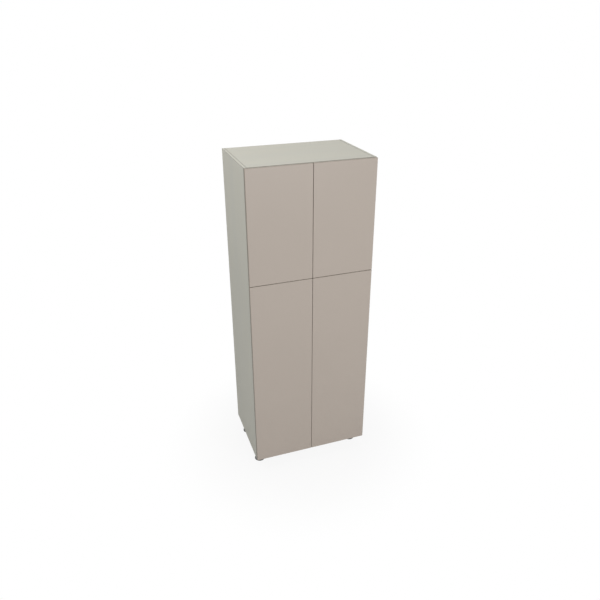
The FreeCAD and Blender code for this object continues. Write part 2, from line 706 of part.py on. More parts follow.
def make_adjusting_ring(bore):
    """The ring that turns on the stem's thread and carries the socket's end."""
    body = new_body("ring_body")
    low = "(Dim.leg_height - Dim.socket_length - Dim.ring_gap - Dim.ring_height)"
    outline = sketch_on(body, "ring_outline", "XY_Plane", low)
    draw_outline(outline, regular("0", "0", "Dim.ring_diameter / 2", BORE_FLAT_COUNT))
    draw_outline(outline, regular("0", "0", bore, BORE_FLAT_COUNT, around=True))
    pad(body, outline, "ring_block", "Dim.ring_height")
    return body


def make_legs():
    """Four legs, each a socket, an adjusting ring and a foot."""
    bore = "(Dim.stem_diameter / 2 + Dim.stem_play)"
    socket = make_leg_socket(bore)
    ring = make_adjusting_ring(bore)
    foot = make_foot()
    sockets = []
    rows = {"front": f"{DOOR_FACE_Y} + Dim.front_leg_from_door", "rear": f"{BACK_Y} - Dim.rear_leg_from_back"}
    for row, y in rows.items():
        for side, (sign, _) in SIDES.items():
            spot = (STRAIGHT, f"{sign} * ({SIDE_X} - Dim.leg_from_side)", y, "0")
            sockets.append((socket, *spot))
            group(f"adjusting_ring_{row}_{side}", [(ring, *spot)])
            group(f"foot_{row}_{side}", [(foot, *spot)])
    group("leg_sockets", sockets)


# ---- wall brackets ----

def make_wall_brackets():
    """Steel angles in the top rear corners, with a hole each for the wall screw."""
    body = new_body("bracket_body")
    section = sketch_on(body, "bracket_section", "YZ_Plane", "-Dim.bracket_width / 2")
    thick = "Dim.bracket_thickness"
    draw_outline(section, [
        ("0", "0"), ("-Dim.bracket_leg", "0"), ("-Dim.bracket_leg", f"-{thick}"), (f"-{thick}", f"-{thick}"),
        (f"-{thick}", "-Dim.bracket_leg"), ("0", "-Dim.bracket_leg"),
    ])
    pad(body, section, "bracket_angle", "Dim.bracket_width")
    hole = sketch_on(body, "bracket_hole", "XZ_Plane")
    draw_circle(hole, "0", "-Dim.wall_hole_drop", "Dim.wall_hole_diameter")
    pocket(body, hole, "bracket_drilling", "Dim.bracket_leg", turned=True)
    face = f"{BACK_Y} - Dim.back_inset - Dim.back_board"
    group("wall_brackets", [(body, STRAIGHT, f"{sign} * Dim.bracket_from_middle", face,
                             f"{TOP_Z} - Dim.board") for sign, _ in SIDES.values()])


make_side_panels()
make_cross_board("base_panel", BOTTOM_Z, groove_above=True, groove_below=False)
make_cross_board("top_panel", f"{TOP_Z} - Dim.board", groove_above=False, groove_below=True)
make_cross_board("middle_shelf", MIDDLE_Z, groove_above=True, groove_below=True)
make_backs()
make_shelves()
make_doors()
make_hinges()
make_latches()
make_legs()
make_wall_brackets()
doc.recompute()

for thing in doc.Objects:
    if "Invalid" in thing.State or "Error" in thing.State:
        raise RuntimeError(f"{thing.Label} did not build: {thing.State}")

os.makedirs("parts", exist_ok=True)
for piece in sub_parts:
    shape = piece.Shape
    if shape.isNull() or not shape.isValid() or shape.Volume <= 0:
        raise RuntimeError(f"{piece.Label} has no sound shape")
    shape.exportStep(f"parts/{piece.Label}.step")
    print(f"{piece.Label}: {len(shape.Solids)} solids, {shape.Volume / 1000:.1f} cm3")
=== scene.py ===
import math

import bpy
from mathutils import Matrix, Vector


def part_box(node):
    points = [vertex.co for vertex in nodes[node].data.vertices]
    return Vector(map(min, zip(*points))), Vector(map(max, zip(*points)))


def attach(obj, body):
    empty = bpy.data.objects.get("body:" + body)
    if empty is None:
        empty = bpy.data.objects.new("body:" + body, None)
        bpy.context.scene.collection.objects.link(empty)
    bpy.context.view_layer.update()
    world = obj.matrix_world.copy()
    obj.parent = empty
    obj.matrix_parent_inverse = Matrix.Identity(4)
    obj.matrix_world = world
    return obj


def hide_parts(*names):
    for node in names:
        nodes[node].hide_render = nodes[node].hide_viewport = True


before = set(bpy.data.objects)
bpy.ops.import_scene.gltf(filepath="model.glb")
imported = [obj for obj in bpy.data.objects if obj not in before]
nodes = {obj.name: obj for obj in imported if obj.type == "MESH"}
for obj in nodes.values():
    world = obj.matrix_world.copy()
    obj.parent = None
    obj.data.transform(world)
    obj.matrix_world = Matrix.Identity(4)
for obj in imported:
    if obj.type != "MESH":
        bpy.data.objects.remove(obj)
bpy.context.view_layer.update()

scene = bpy.context.scene
scene.view_settings.view_transform = "Standard"


# small helpers for work in object and edit mode

mergeDistance = 0.000005
levelNormal = 0.9  # a face is level when its normal is at least this upright


def deselectAll():
    if bpy.context.object and bpy.context.object.mode != "OBJECT":
        bpy.ops.object.mode_set(mode="OBJECT")
    bpy.ops.object.select_all(action="DESELECT")


def makeActive(piece):
    deselectAll()
    piece.select_set(True)
    bpy.context.view_layer.objects.active = piece


def newPiece(name):
    piece = bpy.context.object
    piece.name = name
    piece.data.name = name
    return piece


def selectParts(piece, kind, test):
    # chooses the faces, edges or points that pass the test, and leaves the piece in edit mode
    makeActive(piece)
    bpy.ops.object.mode_set(mode="EDIT")
    bpy.ops.mesh.select_mode(type=kind)
    bpy.ops.mesh.select_all(action="DESELECT")
    bpy.ops.object.mode_set(mode="OBJECT")
    mesh = piece.data
    for part in {"FACE": mesh.polygons, "EDGE": mesh.edges, "VERT": mesh.vertices}[kind]:
        part.select = test(part)
    bpy.ops.object.mode_set(mode="EDIT")


def selectFaces(piece, test):
    # by their centres and normals
    selectParts(piece, "FACE", lambda face: test(face.center, face.normal))


def selectEdges(piece, test):
    # by the places of their two ends
    points = piece.data.vertices
    selectParts(piece, "EDGE", lambda edge: test(*(points[end].co for end in edge.vertices)))


def selectPoints(piece, test):
    # by their places
    selectParts(piece, "VERT", lambda point: test(point.co))


def facesUp(centre, normal):
    return normal.z > levelNormal


def facesDown(centre, normal):
    return normal.z < -levelNormal


def moveUp(distance):
    bpy.ops.mesh.extrude_region_move(TRANSFORM_OT_translate={"value": (0, 0, distance)})


def narrow(factor):
    bpy.ops.transform.resize(value=(factor, factor, 1), center_override=(0, 0, 0))


def addCylinder(name, sides, radius, low, high):
    # stands on the upright axis, between two heights
    deselectAll()
    bpy.ops.mesh.primitive_cylinder_add(vertices=sides, radius=radius, depth=high - low,
                                        location=(0, 0, (low + high) / 2))
    return newPiece(name)


def addBox(name, size, middle, turn=0.0):
    deselectAll()
    bpy.ops.mesh.primitive_cube_add(size=1, location=middle, rotation=(0, 0, turn))
    box = newPiece(name)
    box.scale = size
    return box


def settle(piece):
    # puts the piece's place in its mesh, with the faces pointing outwards
    makeActive(piece)
    bpy.ops.object.transform_apply(location=True, rotation=True, scale=True)
    bpy.ops.object.mode_set(mode="EDIT")
    bpy.ops.mesh.select_all(action="SELECT")
    bpy.ops.mesh.remove_doubles(threshold=mergeDistance)
    bpy.ops.mesh.dissolve_degenerate(threshold=mergeDistance)
    bpy.ops.mesh.normals_make_consistent(inside=False)
    bpy.ops.object.mode_set(mode="OBJECT")
    return piece


def applyModifier(piece, kind, **settings):
    makeActive(piece)
    modifier = piece.modifiers.new(kind.title(), kind)
    for name, value in settings.items():
        setattr(modifier, name, value)
    bpy.ops.object.modifier_apply(modifier=modifier.name)


def cutWith(piece, tool, operation="DIFFERENCE"):
    applyModifier(piece, "BOOLEAN", object=tool, operation=operation, solver="EXACT")
    bpy.data.objects.remove(tool)


def softenEdges(piece, width, segments=2, angle=35):
    applyModifier(piece, "BEVEL", width=width, segments=segments, limit_method="ANGLE",
                  angle_limit=math.radians(angle), harden_normals=False)


def shadeByAngle(piece, angle=32):
    makeActive(piece)
    bpy.ops.object.shade_smooth_by_angle(angle=math.radians(angle))


def joinPieces(name, pieces):
    makeActive(pieces[0])
    for piece in pieces[1:]:
        piece.select_set(True)
    if len(pieces) > 1:
        bpy.ops.object.join()
    return newPiece(name)


def copyTo(master, matrices, name):
    # one copy of the master at each place, made one piece; the master stays for the next call
    copies = []
    for matrix in matrices:
        twin = master.copy()
        twin.data = master.data.copy()
        scene.collection.objects.link(twin)
        twin.matrix_world = matrix
        copies.append(twin)
    deselectAll()
    for twin in copies:
        twin.select_set(True)
    bpy.context.view_layer.objects.active = copies[0]
    bpy.ops.object.transform_apply(location=True, rotation=True, scale=True)
    return joinPieces(name, copies)


def dropMasters(*masters):
    for master in masters:
        bpy.data.objects.remove(master)


def finishPiece(piece, material, body, standsFor=None, angle=32):
    shadeByAngle(piece, angle)
    piece.data.materials.clear()
    piece.data.materials.append(material)
    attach(piece, body)
    if standsFor:
        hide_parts(standsFor)


# finishes: a noise is given as its scale, detail and roughness, or as the last two where the finish is
# told the scale, and a bump as its strength and distance

noiseSpan = (0.3, 0.7)


def addNode(tree, kind, values):
    # a new node, with the values of its inputs given by name
    node = tree.nodes.new(kind)
    for name, value in values.items():
        node.inputs[name].default_value = value
    return node


def startMaterial(name, roughness, metallic=0.0, specular=0.5, coat=0.0):
    material = bpy.data.materials.new(name)
    material.use_nodes = True
    tree = material.node_tree
    shader = tree.nodes["Principled BSDF"]
    shader.inputs["Roughness"].default_value = roughness
    shader.inputs["Metallic"].default_value = metallic
    shader.inputs["Specular IOR Level"].default_value = specular
    shader.inputs["Coat Weight"].default_value = coat
    coordinates = tree.nodes.new("ShaderNodeTexCoord")
    return material, tree, shader, coordinates


def stretched(tree, coordinates, scale):
    mapping = addNode(tree, "ShaderNodeMapping", {"Scale": scale})
    tree.links.new(coordinates.outputs["Object"], mapping.inputs["Vector"])
    return mapping.outputs["Vector"]


def noise(tree, vector, scale, detail, roughness):
    texture = addNode(tree, "ShaderNodeTexNoise", {"Scale": scale, "Detail": detail, "Roughness": roughness})
    tree.links.new(vector, texture.inputs["Vector"])
    return texture.outputs["Fac"]


def ramp(tree, factor, stops):
    band = tree.nodes.new("ShaderNodeValToRGB")
    elements = band.color_ramp.elements
    while len(elements) < len(stops):
        elements.new(position=0.5)
    for element, (position, colour) in zip(elements, stops):
        element.position = position
        element.color = (*colour, 1.0)
    tree.links.new(factor, band.inputs["Fac"])
    return band.outputs["Color"]


def varyRoughness(tree, shader, factor, roughness, span):
    # the span says how far the roughness falls and rises with the noise
    low, high = roughness - span[0], roughness + span[1]
    change = addNode(tree, "ShaderNodeMapRange", {"From Min": noiseSpan[0], "From Max": noiseSpan[1],
                                                  "To Min": low, "To Max": high})
    tree.links.new(factor, change.inputs["Value"])
    tree.links.new(change.outputs["Result"], shader.inputs["Roughness"])


def mixColours(tree, share, first, second):
    mix = tree.nodes.new("ShaderNodeMix")
    mix.data_type = "RGBA"
    if isinstance(share, float):
        mix.inputs["Factor"].default_value = share
    else:
        tree.links.new(share, mix.inputs["Factor"])
    tree.links.new(first, mix.inputs["A"])
    tree.links.new(second, mix.inputs["B"])
    return mix.outputs["Result"]


def addBump(tree, shader, heights):
    # each height is a factor with its bump's strength and distance in metres, and one feeds the next
    normal = None
    for factor, (strength, distance) in heights:
        bump = addNode(tree, "ShaderNodeBump", {"Strength": strength, "Distance": distance})
        tree.links.new(factor, bump.inputs["Height"])
        if normal:
            tree.links.new(normal, bump.inputs["Normal"])
        normal = bump.outputs["Normal"]
    tree.links.new(normal, shader.inputs["Normal"])


def shade(colour, factor):
    return tuple(min(1.0, channel * factor) for channel in colour)


def toned(colour, factor, tone):
    return tuple(channel * part for channel, part in zip(shade(colour, factor), tone))


def shadesOf(tree, factor, colour, low, high):
    # runs from a darker to a lighter shade of the colour over the noise's span
    shades = [shade(colour, low), shade(colour, high)]
    return ramp(tree, factor, list(zip(noiseSpan, shades)))


board = {"stretch": 0.035, "grain": (95.0, 6.0, 0.62), "broad": (14.0, 3.0, 0.5), "cloud": (1.7, 2.0, 0.5),
         "pores": (900.0, 2.0, 0.5), "grainStops": (0.3, 0.52, 0.72), "broadStops": (0.35, 0.65),
         "grainTones": (-1.0, 0.0, 0.6), "broadTones": (-0.8, 0.5), "coolTone": (0.985, 1.0, 1.025),
         "warmTone": (1.012, 1.0, 0.970), "cloudTones": (0.965, 1.035), "broadShare": 0.42,
         "cloudShare": 0.4, "specular": 0.2, "roughnessSpan": (0.05, 0.07), "grainBump": (0.10, 0.0003),
         "poreBump": (0.05, 0.0001)}


def boardFinish(name, colour, along, contrast=0.05, roughness=0.5):
    # printed board with a faint grain that runs along one axis; the tones of grain and broad bands are
    # parts of the contrast, above or below the colour
    material, tree, shader, coordinates = startMaterial(name, roughness, specular=board["specular"])
    across = [1.0, 1.0, 1.0]
    across["XYZ".index(along)] = board["stretch"]
    grainVector = stretched(tree, coordinates, across)
    grain = noise(tree, grainVector, *board["grain"])
    broad = noise(tree, grainVector, *board["broad"])
    cloud = noise(tree, coordinates.outputs["Object"], *board["cloud"])
    pores = noise(tree, coordinates.outputs["Object"], *board["pores"])
    grainShades = [shade(colour, 1 + contrast * tone) for tone in board["grainTones"]]
    fine = ramp(tree, grain, list(zip(board["grainStops"], grainShades)))
    cool, warm = (1 + contrast * tone for tone in board["broadTones"])
    broadShades = [toned(colour, cool, board["coolTone"]), toned(colour, warm, board["warmTone"])]
    wide = ramp(tree, broad, list(zip(board["broadStops"], broadShades)))
    tint = shadesOf(tree, cloud, colour, *board["cloudTones"])
    both = mixColours(tree, board["broadShare"], fine, wide)
    tree.links.new(mixColours(tree, board["cloudShare"], both, tint), shader.inputs["Base Color"])
    varyRoughness(tree, shader, grain, roughness, board["roughnessSpan"])
    addBump(tree, shader, [(grain, board["grainBump"]), (pores, board["poreBump"])])
    return material


def within(tree, value, low, high):
    # 1 where the value lies between the two bounds, else 0
    compare = tree.nodes.new("ShaderNodeMath")
    compare.operation = "COMPARE"
    compare.inputs[1].default_value = (low + high) / 2
    compare.inputs[2].default_value = (high - low) / 2
    tree.links.new(value, compare.inputs[0])
    return compare.outputs["Value"]


lacquer = {"cloud": (1.4, 3.0, 0.55), "speckle": (420.0, 3.0, 0.6), "peel": (260.0, 2.0, 0.45),
           "cloudTones": (0.975, 1.02), "speckleTones": (0.975, 1.015), "shadedEdgeTones": (0.94, 1.06),
           "speckleShare": 0.45, "specular": 0.4, "coat": 0.08, "coatRoughness": 0.3, "faceSkin": 0.0001,
           "roughnessSpan": (0.04, 0.05), "peelBump": (0.08, 0.0002), "speckleBump": (0.04, 0.0001)}


def lacquerFinish(name, colour, edgeShadeColour=None, roughness=0.42):
    # sprayed door lacquer: an even colour with a slight cloud and a fine orange peel; given an edge colour,
    # it also paints shade on the narrow faces
    material, tree, shader, coordinates = startMaterial(name, roughness, specular=lacquer["specular"],
                                                        coat=lacquer["coat"])
    shader.inputs["Coat Roughness"].default_value = lacquer["coatRoughness"]
    cloud = noise(tree, coordinates.outputs["Object"], *lacquer["cloud"])
    speckle = noise(tree, coordinates.outputs["Object"], *lacquer["speckle"])
    peel = noise(tree, coordinates.outputs["Object"], *lacquer["peel"])
    broad = shadesOf(tree, cloud, colour, *lacquer["cloudTones"])
    dots = shadesOf(tree, speckle, colour, *lacquer["speckleTones"])
    paint = mixColours(tree, lacquer["speckleShare"], broad, dots)
    if edgeShadeColour:
        # painted shade: the narrow faces between the door's front and back get a darker colour that stands
        # for the shadow in the gaps around the doors
        place = tree.nodes.new("ShaderNodeSeparateXYZ")
        tree.links.new(coordinates.outputs["Object"], place.inputs["Vector"])
        front, back = doorFaces
        skin = lacquer["faceSkin"]
        shadedNarrowFace = within(tree, place.outputs["Y"], front + skin, back - skin)
        edge = shadesOf(tree, speckle, edgeShadeColour, *lacquer["shadedEdgeTones"])
        paint = mixColours(tree, shadedNarrowFace, paint, edge)
    tree.links.new(paint, shader.inputs["Base Color"])
    varyRoughness(tree, shader, cloud, roughness, lacquer["roughnessSpan"])
    addBump(tree, shader, [(peel, lacquer["peelBump"]), (speckle, lacquer["speckleBump"])])
    return material


metal = {"stretch": (1.0, 0.15, 1.0), "linesPerCloud": 20, "lines": (2.0, 0.5), "cloud": (2.0, 0.4),
         "cloudTones": (0.96, 1.03), "lineTones": (0.95, 1.03), "lineShare": 0.4,
         "roughnessSpan": (0.03, 0.04), "lineBump": (0.04, 0.00005)}


def metalFinish(name, colour, roughness, scale=60.0):
    # plated steel with a drawn sheen and a slight cloud, whose noise has the given scale
    material, tree, shader, coordinates = startMaterial(name, roughness, metallic=1.0)
    lineVector = stretched(tree, coordinates, metal["stretch"])
    drawn = noise(tree, lineVector, scale * metal["linesPerCloud"], *metal["lines"])
    cloud = noise(tree, coordinates.outputs["Object"], scale, *metal["cloud"])
    bright = shadesOf(tree, cloud, colour, *metal["cloudTones"])
    lines = shadesOf(tree, drawn, colour, *metal["lineTones"])
    tree.links.new(mixColours(tree, metal["lineShare"], bright, lines), shader.inputs["Base Color"])
    varyRoughness(tree, shader, cloud, roughness, metal["roughnessSpan"])
    addBump(tree, shader, [(drawn, metal["lineBump"])])
    return material


plastic = {"flow": (28.0, 3.0, 0.5), "grain": (3.0, 0.6), "flowTones": (0.88, 1.1), "grainTones": (0.9, 1.08),
           "grainShare": 0.4, "specular": 0.45, "roughnessSpan": (0.06, 0.08), "grainBump": (0.25, 0.0001)}


def plasticFinish(name, colour, roughness, scale=650.0):
    # moulded plastic with slight flow marks and a fine spark-eroded grain, whose noise has the given scale
    material, tree, shader, coordinates = startMaterial(name, roughness, specular=plastic["specular"])
    flow = noise(tree, coordinates.outputs["Object"], *plastic["flow"])
    grain = noise(tree, coordinates.outputs["Object"], scale, *plastic["grain"])
    body = shadesOf(tree, flow, colour, *plastic["flowTones"])
    dots = shadesOf(tree, grain, colour, *plastic["grainTones"])
    tree.links.new(mixColours(tree, plastic["grainShare"], body, dots), shader.inputs["Base Color"])
    varyRoughness(tree, shader, grain, roughness, plastic["roughnessSpan"])
    addBump(tree, shader, [(grain, plastic["grainBump"])])
    return material


doorFaces = [corner.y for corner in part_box("lower_door_left")]  # the doors' front and back
colours = {
    "board": (0.520, 0.512, 0.452),
    # painted shade: the board arris colour is dark so that the arrises stand for the shadow lines in the gaps
    # and joints
    "boardShadeLine": (0.118, 0.114, 0.100),
    "back": (0.560, 0.552, 0.500),
    "door": (0.440, 0.384, 0.336),
    # painted shade: the door edge colour is darker so that the doors' narrow faces and arrises stand for the
    # shadow in the gaps around them
    "doorEdge": (0.300, 0.256, 0.208),
    "plated": (0.74, 0.73, 0.70),
    "zinc": (0.66, 0.67, 0.69),
    "legPlastic": (0.118, 0.118, 0.120),
    "legPlasticDark": (0.045, 0.045, 0.047),
    "latchPlastic": (0.36, 0.36, 0.35),
    "clearRubber": (0.50, 0.49, 0.46),
    "capPlastic": (0.50, 0.492, 0.44),
}

finishes = {
    "boardX": boardFinish("boardGrainAcross", colours["board"], "X"),
    "boardZ": boardFinish("boardGrainUpright", colours["board"], "Z"),
    # painted shade: a dark board finish for the arrises, standing for the shadow lines in the gaps and joints
    "boardShadeLine": boardFinish("paintedShadeBoardArris", colours["boardShadeLine"], "Z", contrast=0.08, roughness=0.6),
    "back": boardFinish("backBoardGrain", colours["back"], "Z", contrast=0.04, roughness=0.6),
    # painted shade: the doors' narrow faces and arrises get a darker colour that stands for the shadow in the
    # gaps around them
    "door": lacquerFinish("doorLacquer", colours["door"], colours["doorEdge"]),
    "doorEdge": lacquerFinish("doorArris", colours["doorEdge"], roughness=0.5),
    "plated": metalFinish("nickelPlatedSteel", colours["plated"], roughness=0.30),
    "zinc": metalFinish("zincPlatedSteel", colours["zinc"], roughness=0.40, scale=45.0),
    "legPlastic": plasticFinish("legPlastic", colours["legPlastic"], roughness=0.45),
    "legPlasticDark": plasticFinish("adjustingRingPlastic", colours["legPlasticDark"], roughness=0.5),
    "latchPlastic": plasticFinish("latchPlastic", colours["latchPlastic"], roughness=0.4),
    "clearRubber": plasticFinish("bumperRubber", colours["clearRubber"], roughness=0.3, scale=300.0),
    "capPlastic": plasticFinish("capPlastic", colours["capPlastic"], roughness=0.42),
}
print("finishes made:", len(finishes))


# the carried-over boards, doors and small metal parts: each node's finish, and the finish and width of its
# arrises; on the boards and doors the arris finish is painted shade, a dark line that stands for the shadow
# in the gaps and joints

carried = {
    "side_panel_left": ("boardZ", "boardShadeLine", 0.0018),
    "side_panel_right": ("boardZ", "boardShadeLine", 0.0018),
    "top_panel": ("boardX", "boardShadeLine", 0.0016),
    "base_panel": ("boardX", "boardShadeLine", 0.0005),
    "middle_shelf": ("boardX", "boardShadeLine", 0.0005),
    "upper_shelf": ("boardX", "boardShadeLine", 0.0006),
    "lower_shelf_1": ("boardX", "boardShadeLine", 0.0006),
    "lower_shelf_2": ("boardX", "boardShadeLine", 0.0006),
    "back_panel_lower": ("back", "boardShadeLine", 0.0004),
    "back_panel_upper": ("back", "boardShadeLine", 0.0004),
    "hinge_arms": ("plated", "plated", 0.0002),
    "mounting_plates": ("plated", "plated", 0.0003),
    "latch_housings": ("latchPlastic", "latchPlastic", 0.0006),
    "wall_brackets": ("zinc", "zinc", 0.0004),
}
doorNames = [f"{level}_door_{side}" for level in ("lower", "upper") for side in ("left", "right")]
for doorName in doorNames:
    carried[doorName] = ("door", "doorEdge", 0.0012)
    carried[f"strike_plate_{doorName}"] = ("zinc", "zinc", 0.0002)
    carried[f"outer_links_{doorName}"] = ("plated", "plated", 0.00015)
    carried[f"inner_links_{doorName}"] = ("plated", "plated", 0.00015)

carriedMerge = 0.00001
carriedAngle = 60
for nodeName, (face, arris, width) in carried.items():
    node = nodes[nodeName]
    node.data.materials.clear()
    node.data.materials.append(finishes[face])
    node.data.materials.append(finishes[arris])
    weld = node.modifiers.new("Weld", "WELD")
    weld.merge_threshold = carriedMerge
    edge = node.modifiers.new("Arris", "BEVEL")
    edge.width = width
    edge.segments = 2
    edge.limit_method = "ANGLE"
    edge.angle_limit = math.radians(carriedAngle)
    # the arrises take the second finish, which on the boards and doors is painted shade
    edge.material = 1
    edge.use_clamp_overlap = True
print("carried-over parts dressed:", len(carried))


# measures read from the frame

panelLow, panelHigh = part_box("side_panel_left")
frontEdge = panelLow.y
halfWidth = -panelLow.x
boardThick = panelHigh.x - panelLow.x
sideSigns = {"left": -1, "right": 1}
hingeCounts = {"lower": 3, "upper": 2}
hingeEndDistance = 0.1


def hingeLevels(level):
    low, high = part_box(f"{level}_door_left")
    first = low.z + hingeEndDistance
    step = (high.z - low.z - 2 * hingeEndDistance) / (hingeCounts[level] - 1)
    return [first + step * number for number in range(hingeCounts[level])]


def hingePlace(side, z, across, back, lift=0.0):
    # a point of a hinge: across from the side's outer face, back from its front edge
    sign = sideSigns[side]
    return Vector((sign * (halfWidth - across), frontEdge + back, z + lift))


# the screw that holds most fittings

screw = {"sides": 20, "radius": 0.0034, "height": 0.0011, "rimShare": 0.28, "rimRise": 0.00025,
         "domeShare": 0.25, "domeRise": 0.0001, "slotSize": (0.0036, 0.0009, 0.0016), "slotLift": 0.0003}


def makeScrew():
    # the head stands on height 0, its axis upright, and has a cross slot
    head = settle(addCylinder("screwMaster", screw["sides"], screw["radius"], 0, screw["height"]))
    selectFaces(head, facesUp)
    bpy.ops.mesh.inset(thickness=screw["radius"] * screw["rimShare"], depth=screw["rimRise"])
    bpy.ops.mesh.inset(thickness=screw["radius"] * screw["domeShare"], depth=screw["domeRise"])
    bpy.ops.object.mode_set(mode="OBJECT")
    middle = (0, 0, screw["height"] + screw["slotLift"])
    for turn in (0.0, math.pi / 2):
        cutWith(head, addBox("slotBar", screw["slotSize"], middle, turn))
    return settle(head)


def facing(point, axis, scale=1.0):
    # places a master so that its upright axis points along the given one
    turn = Vector(axis).to_track_quat("Z", "Y").to_matrix().to_4x4()
    return Matrix.Translation(Vector(point)) @ turn @ Matrix.Scale(scale, 4)


screwMaster = makeScrew()
print("screw made")


# hinge cups, which stand for the plainer ones of the frame

cup = {"radius": 0.01735, "sides": 56, "wall": 0.0008, "depth": 0.0128, "flange": 0.001, "overlap": 0.0018,
       "footRound": 0.0012, "wingOffset": 0.0095, "wingWide": 0.012, "wingLong": 0.058, "wingCorner": 0.42,
       "arris": 0.00018, "across": 0.024, "screwRise": 0.024, "screwScale": 0.95, "flangeFace": -0.001,
       "pinSides": 24, "pinRadius": 0.001, "pinStart": 0.0003, "pinStep": 0.001, "pinEndInset": 0.0004,
       "outerPin": (0.01099, -0.00861), "innerPin": (0.01403, -0.01053)}


def makeCup():
    # built upright: the flange rests on height 0, and the bowl hangs below it
    bowl = settle(addCylinder("cupMaster", cup["sides"], cup["radius"], -cup["depth"], cup["flange"]))
    selectFaces(bowl, facesDown)
    bpy.ops.mesh.bevel(offset=cup["footRound"], segments=3, affect="EDGES")
    bpy.ops.object.mode_set(mode="OBJECT")
    rim = addCylinder("rim", cup["sides"], cup["radius"] + cup["overlap"], 0, cup["flange"])
    wings = settle(addBox("wings", (cup["wingWide"], cup["wingLong"], cup["flange"]),
                          (cup["wingOffset"], 0, cup["flange"] / 2)))
    selectEdges(wings, lambda a, b: abs(a.z - b.z) > cup["flange"] / 2)
    bpy.ops.mesh.bevel(offset=cup["wingWide"] * cup["wingCorner"], segments=6)
    bpy.ops.object.mode_set(mode="OBJECT")
    cutWith(bowl, rim, "UNION")
    cutWith(bowl, wings, "UNION")
    wall = cup["wall"]
    cutWith(bowl, addCylinder("hollow", cup["sides"], cup["radius"] - wall, wall - cup["depth"],
                              wall + cup["flange"]))
    settle(bowl)
    softenEdges(bowl, cup["arris"])
    return settle(bowl)


def makePin():
    # plain, because both its ends lie in metal
    return settle(addCylinder("pinMaster", cup["pinSides"], cup["pinRadius"], 0, cup["pinStep"]))


cupMaster = makeCup()
pinMaster = makePin()
for doorName in doorNames:
    level, _, side = doorName.split("_")
    sign = sideSigns[side]
    turn = Matrix(((-sign, 0, 0, 0), (0, 0, 1, 0), (0, sign, 0, 0), (0, 0, 0, 1)))
    flangeBack = cup["flangeFace"] - cup["flange"]
    bowls = [Matrix.Translation(hingePlace(side, z, cup["across"], flangeBack)) @ turn
             for z in hingeLevels(level)]
    pieces = [copyTo(cupMaster, bowls, "bowls")]
    pins = []
    for (across, back), layer in ((cup["outerPin"], 1), (cup["innerPin"], -1)):
        offset = cup["across"] - across + cup["pinRadius"]
        reach = math.sqrt((cup["radius"] - cup["pinEndInset"]) ** 2 - offset ** 2)
        direction = -sign * layer
        for z in hingeLevels(level):
            start = hingePlace(side, z, across, back, direction * cup["pinStart"])
            stretch = (reach - cup["pinStart"]) / cup["pinStep"]
            pins.append(facing(start, (0, 0, direction)) @ Matrix.Diagonal((1, 1, stretch, 1)))
    pieces.append(copyTo(pinMaster, pins, "cupPins"))
    wingAcross = cup["across"] + cup["wingOffset"]
    heads = [facing(hingePlace(side, z, wingAcross, cup["flangeFace"], rise), (0, 1, 0), cup["screwScale"])
             for z in hingeLevels(level) for rise in (-cup["screwRise"], cup["screwRise"])]
    pieces.append(copyTo(screwMaster, heads, "cupScrews"))
    cups = joinPieces(f"hingeCups_{doorName}", pieces)
    finishPiece(cups, finishes["plated"], doorName, f"hinge_cups_{doorName}")
dropMasters(cupMaster, pinMaster)
print("hinge cups made")


# rivet heads, plate screws and the arms' adjusting screws

arm = {"halfWidth": 0.0051, "outerPin": (0.03489, 0.01196), "innerPin": (0.03154, -0.00627), "roof": 0.0335,
       "screwBacks": (0.038, 0.056), "screwScale": 0.85, "plateFace": 0.0215, "plateBack": 0.037,
       "plateRise": 0.0185, "plateScrewScale": 0.92}
rivet = {"segments": 16, "rings": 8, "radius": 0.0015, "flatness": 0.45}


def makeRivet():
    # the upper half of a ball, pressed flat
    deselectAll()
    bpy.ops.mesh.primitive_uv_sphere_add(segments=rivet["segments"], ring_count=rivet["rings"],
                                         radius=rivet["radius"])
    head = newPiece("rivetMaster")
    selectPoints(head, lambda place: place.z < -mergeDistance)
    bpy.ops.mesh.delete(type="VERT")
    bpy.ops.object.mode_set(mode="OBJECT")
    selectEdges(head, lambda a, b: abs(a.z) < mergeDistance and abs(b.z) < mergeDistance)
    bpy.ops.mesh.fill()
    bpy.ops.object.mode_set(mode="OBJECT")
    head.scale = (1, 1, rivet["flatness"])
    return settle(head)


rivetMaster = makeRivet()
rivets = []
armScrews = []
plateScrews = []
for level in hingeCounts:
    for side, sign in sideSigns.items():
        inwards = (-sign, 0, 0)
        for z in hingeLevels(level):
            for direction in (-1, 1):
                spot = hingePlace(side, z, *arm["outerPin"], direction * arm["halfWidth"])
                rivets.append(facing(spot, (0, 0, direction)))
                spot = hingePlace(side, z, arm["plateFace"], arm["plateBack"], direction * arm["plateRise"])
                plateScrews.append(facing(spot, inwards, arm["plateScrewScale"]))
            spot = hingePlace(side, z, *arm["innerPin"], sign * arm["halfWidth"])
            rivets.append(facing(spot, (0, 0, sign)))
            for back in arm["screwBacks"]:
                spot = hingePlace(side, z, arm["roof"], back)
                armScrews.append(facing(spot, inwards, arm["screwScale"]))
hingeFixings = joinPieces("hingeFixings", [copyTo(rivetMaster, rivets, "rivets"),
                                           copyTo(screwMaster, armScrews, "armScrews"),
                                           copyTo(screwMaster, plateScrews, "plateScrews")])
finishPiece(hingeFixings, finishes["zinc"], "carcass")
dropMasters(rivetMaster)
print("hinge fixings made")


# shelf pins with a groove near the tip, one for each hole in use

shelfPin = {"sides": 24, "radius": 0.00245, "inBoard": 0.010, "bearing": 0.008, "endRound": 0.0005,
            "grooveSides": 8, "grooveRadius": 0.00035, "grooveAt": 0.0055, "rowBacks": (0.037, 0.485)}


